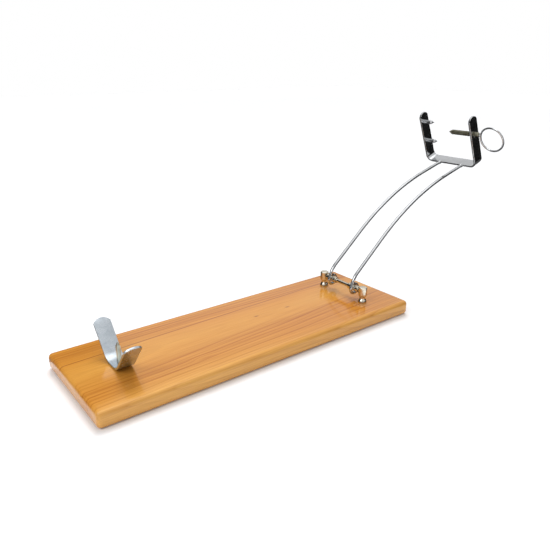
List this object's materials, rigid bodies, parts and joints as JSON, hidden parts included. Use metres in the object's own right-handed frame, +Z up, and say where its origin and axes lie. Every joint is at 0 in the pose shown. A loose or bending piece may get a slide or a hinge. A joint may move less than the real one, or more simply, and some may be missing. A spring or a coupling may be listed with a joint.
{
  "type": "folding ham stand",
  "caption": "Folding ham stand: a wooden board with a V-shaped metal cradle and spike at one end and, at the other, a swinging arm of bent rods that carries a spiked screw clamp.",
  "frame": {"origin": "middle of the board's underside", "axes": "+X along the board from the cradle towards the arm's clamp, +Y from the ring's side of the clamp towards its spikes, +Z up"},
  "size_m": [0.7068, 0.1873, 0.2887],
  "materials": {
    "pine": "honey-coloured pine under satin varnish, grain along the board",
    "zinc": "satin zinc-plated steel, slightly mottled",
    "nickel": "polished warm nickel plate",
    "polished": "polished plated steel",
    "bronzed": "dark bronzed screw thread"
  },
  "bodies": {
    "base": {"base_board": "pine", "cradle": "zinc", "cradle_spike": "zinc", "cradle_washer": "zinc", "cradle_nut": "zinc", "post_screw_near": "zinc", "post_screw_far": "zinc", "post_washer_near": "zinc", "post_washer_far": "zinc", "cross_bar": "nickel", "post_near": "nickel", "post_far": "nickel", "collar_near_outer": "nickel", "collar_near_inner": "nickel", "collar_far_outer": "nickel", "collar_far_inner": "nickel"},
    "arm": {"arm_rod_near": "polished", "arm_rod_far": "polished", "clamp_bracket": "polished", "clamp_spike_lower": "polished", "clamp_spike_upper": "polished"},
    "screw": {"clamp_screw": "bronzed"},
    "ring": {"ring_handle": "polished"}
  },
  "joints": [
    {"name": "arm_fold", "type": "hinge", "parent": "base", "child": "arm", "pos_m": [0.19, 0, 0.0382], "axis": [0, -1, 0], "range_deg": [0, 134]},
    {"name": "screw_feed", "type": "slide", "parent": "arm", "child": "screw", "axis": [0, 1, 0], "range_m": [-0.04, 0.007]},
    {"name": "ring_turn", "type": "hinge", "parent": "screw", "child": "ring", "pos_m": [0.42501, -0.0594, 0.25942], "axis": [0, 1, 0], "range_deg": [-11500, 2000]}
  ],
  "couplings": [
    {"joint": "screw_feed", "follows": "ring_turn", "m_per_rad": 0.00019894}
  ]
}
